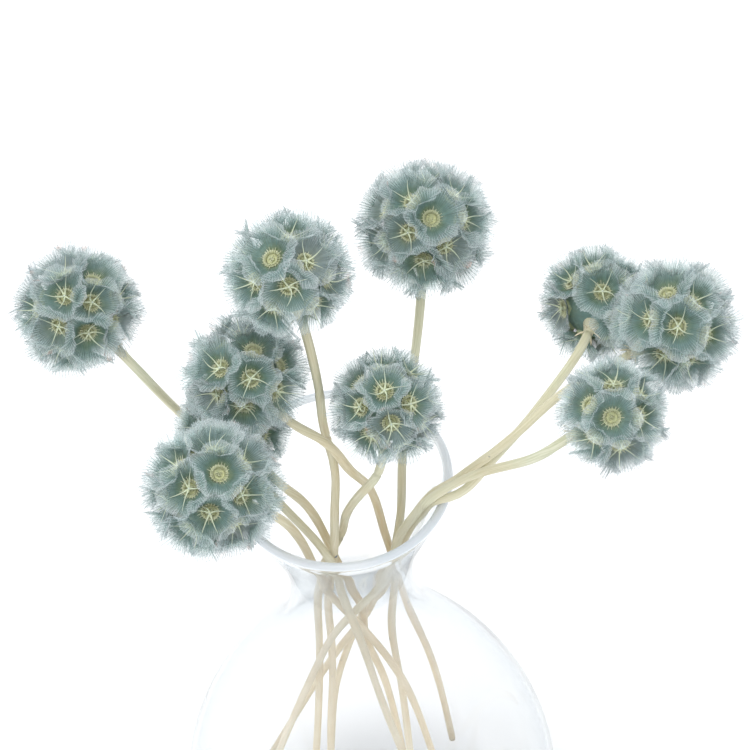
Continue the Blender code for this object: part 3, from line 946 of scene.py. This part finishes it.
def arms_patch(funnel, extra, finish):
    """Five flat pointed arms, each curving out and up to its own tip.

    With s from 0 at the hub to 1 at the tip, an arm's path is (1 - s) squared x its root
    + 2 s (1 - s) x its middle + s squared x its tip.
    """
    turns = funnel.start + (np.arange(STAR_POINTS) + 0.5) * 2 * math.pi / STAR_POINTS
    bent = turn_ways(funnel, turns + extra.normal(0, AWN_SWAY, STAR_POINTS))[:, None]
    swerve = turn_ways(funnel, turns + extra.normal(0, AWN_SWAY, STAR_POINTS))[:, None]
    hub = funnel.cup + HUB_HEIGHT
    lift = hub + extra.uniform(*AWN_LIFTS, STAR_POINTS)[:, None, None]
    rise = funnel.cup + STAR_RISE * extra.uniform(*AWN_RISES, STAR_POINTS)[:, None, None]
    reach = AWN_REACH * STAR_REACH * funnel.arms * extra.uniform(*AWN_LENGTHS, STAR_POINTS)
    root = turn_ways(funnel, turns)[:, None] * 0.25 * HUB_RADIUS + funnel.axis * hub
    middle = swerve * AWN_MIDDLE + funnel.axis * lift
    tip = bent * reach[:, None, None] + funnel.axis * rise
    share = np.linspace(0, 1, AWN_STEPS)[None, :, None]
    paths = (1 - share) ** 2 * root + 2 * share * (1 - share) * middle + share**2 * tip
    radii = np.broadcast_to(awn_radii(share[0, :, 0]), (STAR_POINTS, AWN_STEPS))
    facing = funnel.axis + 0 * paths
    return tube_patch(paths, radii, facing, 4, finish, funnel.tint, flatness=AWN_FLATNESS)


def stalk_patch(funnel, finish):
    """The short knobbed stalk that holds the star up from the cup's hollow."""
    ends = (funnel.cup - STALK_FOOT, funnel.cup + HUB_HEIGHT + STALK_TOP)
    path = funnel.axis * np.linspace(*ends, len(STALK_RADII))[:, None]
    return tube_patch(path[None], np.array([STALK_RADII]), funnel.first, 8, finish, funnel.tint)


def fruit_patch(funnel, radius, finish):
    """The fruit's ribbed body: its radius eases from FRUIT_ROOT to FRUIT_TOP, waved by FRUIT_RIBS ribs."""
    turns = full_turn(FRUIT_SIDES)
    share = np.linspace(0, 1, 6)[:, None]
    ribbed = 1 + FRUIT_RIB_DEPTH * np.cos(FRUIT_RIBS * turns) * share
    out = (FRUIT_ROOT + (FRUIT_TOP - FRUIT_ROOT) * ease(share)) * ribbed
    up = ROOT_SHARE * radius + (funnel.cup - ROOT_SHARE * radius) * share + 0 * turns
    body = out[..., None] * turn_ways(funnel, turns) + up[..., None] * funnel.axis
    across = np.linspace(0, 1, FRUIT_SIDES + 1)
    # Along runs up to FRUIT_SHADE at the cup, so the fruit is darker with painted shade towards its root deep
    # in the head.
    return ring_patch(body, across, share[:, 0] * FRUIT_SHADE, finish, funnel.tint, first_cap=True)


def cup_patch(funnel, finish):
    """The cup on the fruit: rings round the axis from its pale collar in to the middle of its hollow."""
    turns = full_turn(CUP_SIDES)
    out, up, along = CUP_RINGS.T[:, :, None] + 0 * turns
    hollow = out[..., None] * turn_ways(funnel, turns) + (funnel.cup + up)[..., None] * funnel.axis
    across = np.linspace(0, 1, CUP_SIDES + 1)
    return ring_patch(hollow, across, along[:, 0], finish, funnel.tint, last_cap=True)


def core_patch(radius, funnels, finish):
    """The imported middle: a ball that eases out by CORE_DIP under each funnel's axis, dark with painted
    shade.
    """
    shape = bmesh.new()
    bmesh.ops.create_icosphere(shape, subdivisions=3, radius=1.0)
    ways = np.array([tuple(vertex.co) for vertex in shape.verts])
    faces = np.array([[vertex.index for vertex in face.verts] for face in shape.faces])
    shape.free()
    nearest = (unit(ways) @ np.array([funnel.axis for funnel in funnels]).T).max(axis=1)
    under = ease((nearest - CORE_NEAR) / (1 - CORE_NEAR))
    swell = CORE_SHARE * radius * (1 - CORE_DIP + CORE_DIP * under)
    maps = np.zeros((len(faces), 3, 2))
    # Along picks the core's painted shade from the fruit's colours: darkest away from the funnels, up to
    # CORE_SHADE under their axes.
    maps[..., 1] = CORE_SHADE * under[faces]
    return Patch(ways * swell[:, None], [faces], [maps], finish, 0.5)


def neck_patch(radius, stem_way, sides, finish):
    """The receptacle's cone: its radius eases down by NECK_FLARE to a little more than the stem's."""
    turns = full_turn(STEM_SIDES)
    share = np.linspace(0, 1, 7)[:, None]
    flare = NECK_LOOSE + NECK_FLARE * (1 - ease(share))
    out = STEM_RADIUS + flare + RIDGE_DEPTH * np.cos(STEM_RIDGES * turns)
    down = radius * (NECK_ROOT + (NECK_SHARE - NECK_ROOT) * share) + 0 * turns
    ways = np.cos(turns)[:, None] * sides[0] + np.sin(turns)[:, None] * sides[1]
    cone = out[..., None] * ways + down[..., None] * stem_way
    across = np.linspace(0, 1, STEM_SIDES + 1)
    return ring_patch(cone, across, 0.05 * share[:, 0], finish, NECK_TINT, first_cap=True, last_cap=True)


def bracts_patch(radius, stem_way, sides, extra, finish):
    """Small flat pointed leaves round the neck.

    With s from 0 to 1, a bract runs out evenly, and down by its length times (0.25 s + 0.45 s squared).
    """
    shifts = extra.uniform(-BRACT_SHIFT, BRACT_SHIFT, BRACTS)
    turns = 2 * math.pi * (np.arange(BRACTS) + shifts) / BRACTS
    ways = (np.cos(turns)[:, None] * sides[0] + np.sin(turns)[:, None] * sides[1])[:, None]
    share = np.linspace(0, 1, 6)[None, :, None]
    length = extra.uniform(*BRACT_LENGTHS, BRACTS)[:, None, None]
    out = STEM_RADIUS + length * share
    down = BRACT_PLACE * radius + length * (0.25 * share + 0.45 * share**2)
    paths = out * ways + down * stem_way
    radii = BRACT_WIDTH * np.sqrt(1 - share[0, :, 0]) * (0.5 + share[0, :, 0]) + BRACT_TIP
    radii = np.broadcast_to(radii, (BRACTS, 6))
    return tube_patch(paths, radii, stem_way, 4, finish, BRACT_TINT, flatness=0.3, along=0.5)


def neck_patches(radius, stem_way, extra, finish):
    """Neck and bracts about the stem's way, which has two sides square to it and to each other."""
    stem_way = np.array(stem_way)
    first = unit(np.cross(stem_way, (0.3, 0.9, 0.2)))
    sides = (first, np.cross(stem_way, first))
    neck = neck_patch(radius, stem_way, sides, finish)
    return [neck, bracts_patch(radius, stem_way, sides, extra, finish)]


def make_head(number, radius, route, finishes):
    """A whole seed head: core, neck and bracts, and then each funnel with its cup and star."""
    extra = np.random.default_rng(100 + number)
    line = smooth_route(route, FINE_STEP)
    beyond = line[np.linalg.norm(line - line[0], axis=1) >= NECK_SHARE * radius][0]
    stem_way = (Vector(beyond) - Vector(route[0])).normalized()
    funnels = head_funnels(number, radius, stem_way)
    membrane, rib, bristle, awn, fruit, straw = range(len(finishes))
    patches = [core_patch(radius, funnels, fruit), *neck_patches(radius, stem_way, extra, straw)]
    for funnel in funnels:
        patches.append(membrane_patch(funnel, extra, membrane))
        patches.append(rib_patch(funnel, extra, rib))
        patches.append(bristle_patch(funnel, extra, bristle))
        patches.append(fruit_patch(funnel, radius, fruit))
        patches.append(cup_patch(funnel, fruit))
        if extra.random() > BARE_CUPS:
            patches.append(arms_patch(funnel, extra, awn))
            patches.append(stalk_patch(funnel, awn))
    return make_piece(f"papery_head_{number}", patches, finishes.values(), route[0])


# Stage


def place_camera():
    """Camera held so that the lip's ring falls where the picture has it, at that size."""
    ahead = Vector((0, math.cos(LOOK_DOWN), -math.sin(LOOK_DOWN)))
    level = Vector((1, 0, 0))
    square = level.cross(ahead)
    right = math.cos(LEAN_LEFT) * level + math.sin(LEAN_LEFT) * square
    up = -math.sin(LEAN_LEFT) * level + math.cos(LEAN_LEFT) * square
    depth = FOCAL * LIP_RADIUS / LIP_REACH
    across = (LIP_CENTRE[0] - FRAME / 2) / FOCAL * depth
    down = (LIP_CENTRE[1] - FRAME / 2) / FOCAL * depth
    place = Vector((0, 0, HEIGHT)) - depth * ahead - across * right + down * up
    camera = bpy.data.objects.new("camera", bpy.data.cameras.new("camera"))
    camera.data.sensor_width = SENSOR
    camera.data.lens = SENSOR * FOCAL / FRAME
    camera.data.clip_end = CLIP_END
    camera.matrix_world = Matrix.Translation(place * MM) @ Matrix((right, up, -ahead)).transposed().to_4x4()
    bpy.context.scene.collection.objects.link(camera)
    bpy.context.scene.camera = camera


def add_lamp():
    """One soft square lamp high over the bottle."""
    data = bpy.data.lights.new("soft_top", "AREA")
    data.size = LAMP_SIZE
    data.energy = LAMP_POWER
    data.color = LAMP_COLOUR
    lamp = bpy.data.objects.new("soft_top", data)
    lamp.location = LAMP_PLACE
    lamp.rotation_euler = (Vector(LAMP_AIM) - Vector(LAMP_PLACE)).to_track_quat("-Z", "Y").to_euler()
    bpy.context.scene.collection.objects.link(lamp)


def light_studio():
    """A white room all round, the lamp, and light paths long enough for glass and stacked membranes."""
    scene = bpy.context.scene
    world = bpy.data.worlds.new("white_room")
    world.use_nodes = True
    back = world.node_tree.nodes["Background"]
    back.inputs["Color"].default_value = ROOM_COLOUR
    back.inputs["Strength"].default_value = ROOM_LIGHT
    scene.world = world
    scene.view_settings.view_transform = "Standard"
    scene.cycles.max_bounces = DEEPEST_PATH
    scene.cycles.transmission_bounces = DEEPEST_PATH
    scene.cycles.transparent_max_bounces = DEEPEST_PATH
    add_lamp()


def make_floor(finish):
    """A wide round sheet under the bottle."""
    points = turned_rings(FLOOR_RADII, 0 * FLOOR_RADII, FLOOR_SIDES)
    across = np.linspace(0, 1, FLOOR_SIDES + 1)
    along = np.linspace(0, 1, len(FLOOR_RADII))
    patch = ring_patch(points[::-1], across, along, 0, last_cap=True)
    floor = make_piece("pale_floor", [patch], [finish], (0, 0, -FLOOR_DROP))


def main():
    groups = {"drift": drift_group(), "specks": speck_group()}
    straw = straw_finish(groups)
    head_finishes = {
        "membrane": membrane_finish(groups),
        "rib": rib_finish(),
        "bristle": bristle_finish(groups),
        "awn": awn_finish(groups),
        "fruit": fruit_finish(groups),
        "straw": straw,
    }
    place_camera()
    light_studio()
    make_floor(floor_finish(groups))
    bottle = make_bottle([glass_finish(groups), lip_finish(groups)])
    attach(bottle, BODY)
    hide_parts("bottle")
    for number, ((radius, route), tan) in enumerate(zip(PLANTS, STEM_TANS), 1):
        head = make_head(number, radius, route, head_finishes)
        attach(head, BODY)
        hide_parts(f"seed_head_{number}")
        patch = stem_patch(route, NECK_SHARE * radius - STEM_SINK, tan, 0)
        stem = make_piece(f"straw_stem_{number}", [patch], [straw])
        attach(stem, BODY)
        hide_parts(f"stem_{number}")


main()
